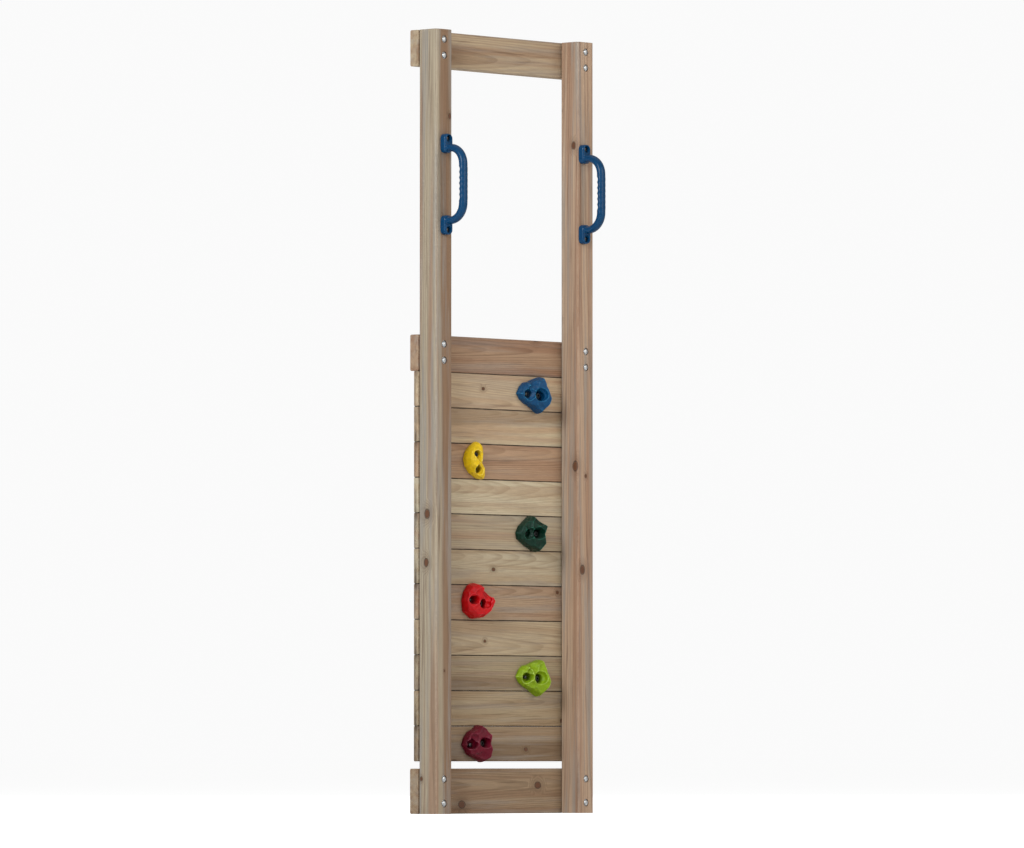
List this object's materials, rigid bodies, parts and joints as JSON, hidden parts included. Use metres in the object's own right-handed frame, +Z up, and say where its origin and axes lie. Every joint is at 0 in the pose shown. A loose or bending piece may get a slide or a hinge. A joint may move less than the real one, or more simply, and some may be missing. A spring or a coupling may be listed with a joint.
{
  "type": "rock climbing wall",
  "caption": "Timber climbing wall bay for a play tower: posts, cross boards, bolted moulded rock holds and grab handles beside the climb-through opening.",
  "frame": {"origin": "on the ground, at the middle of the wall's width and of its whole depth, handles and nuts included", "axes": "+X to the climber's right, climbing face towards -Y, +Z up"},
  "size_m": [0.584, 0.1712, 1.9397],
  "materials": {
    "post_wood": "planed softwood, oiled, fine grain",
    "rail_wood": "sawn softwood, pinkish brown",
    "board_wood": "sawn softwood boards, tan to grey brown",
    "zinc_fixings": "bright zinc plate",
    "handle_plastic": "semi-gloss moulded plastic, deep blue",
    "hold_blue_plastic": "gritty moulded plastic, blue",
    "hold_yellow_plastic": "gritty moulded plastic, yellow",
    "hold_dark_green_plastic": "gritty moulded plastic, dark green",
    "hold_red_plastic": "gritty moulded plastic, red",
    "hold_lime_plastic": "gritty moulded plastic, lime green",
    "hold_maroon_plastic": "gritty moulded plastic, maroon"
  },
  "bodies": {
    "root": {"base_bolt_left_lower": "zinc_fixings", "base_bolt_left_upper": "zinc_fixings", "base_bolt_right_lower": "zinc_fixings", "base_bolt_right_upper": "zinc_fixings", "base_rail": "rail_wood", "climbing_board_01": "board_wood", "climbing_board_02": "board_wood", "climbing_board_03": "board_wood", "climbing_board_04": "board_wood", "climbing_board_05": "board_wood", "climbing_board_06": "board_wood", "climbing_board_07": "board_wood", "climbing_board_08": "board_wood", "climbing_board_09": "board_wood", "climbing_board_10": "board_wood", "climbing_board_11": "board_wood", "deck_bolt_left_lower": "zinc_fixings", "deck_bolt_left_upper": "zinc_fixings", "deck_bolt_right_lower": "zinc_fixings", "deck_bolt_right_upper": "zinc_fixings", "deck_rail": "rail_wood", "handle_left": "handle_plastic", "handle_left_screw_lower": "zinc_fixings", "handle_left_screw_upper": "zinc_fixings", "handle_right": "handle_plastic", "handle_right_screw_lower": "zinc_fixings", "handle_right_screw_upper": "zinc_fixings", "head_bolt_left_lower": "zinc_fixings", "head_bolt_left_upper": "zinc_fixings", "head_bolt_right_lower": "zinc_fixings", "head_bolt_right_upper": "zinc_fixings", "head_rail": "rail_wood", "hold_blue": "hold_blue_plastic", "hold_blue_bolt": "zinc_fixings", "hold_blue_pin_screw": "zinc_fixings", "hold_blue_tee_nut": "zinc_fixings", "hold_dark_green": "hold_dark_green_plastic", "hold_dark_green_bolt": "zinc_fixings", "hold_dark_green_pin_screw": "zinc_fixings", "hold_dark_green_tee_nut": "zinc_fixings", "hold_lime": "hold_lime_plastic", "hold_lime_bolt": "zinc_fixings", "hold_lime_pin_screw": "zinc_fixings", "hold_lime_tee_nut": "zinc_fixings", "hold_maroon": "hold_maroon_plastic", "hold_maroon_bolt": "zinc_fixings", "hold_maroon_pin_screw": "zinc_fixings", "hold_maroon_tee_nut": "zinc_fixings", "hold_red": "hold_red_plastic", "hold_red_bolt": "zinc_fixings", "hold_red_pin_screw": "zinc_fixings", "hold_red_tee_nut": "zinc_fixings", "hold_yellow": "hold_yellow_plastic", "hold_yellow_bolt": "zinc_fixings", "hold_yellow_pin_screw": "zinc_fixings", "hold_yellow_tee_nut": "zinc_fixings", "left_post": "post_wood", "right_post": "post_wood"}
  },
  "joints": []
}
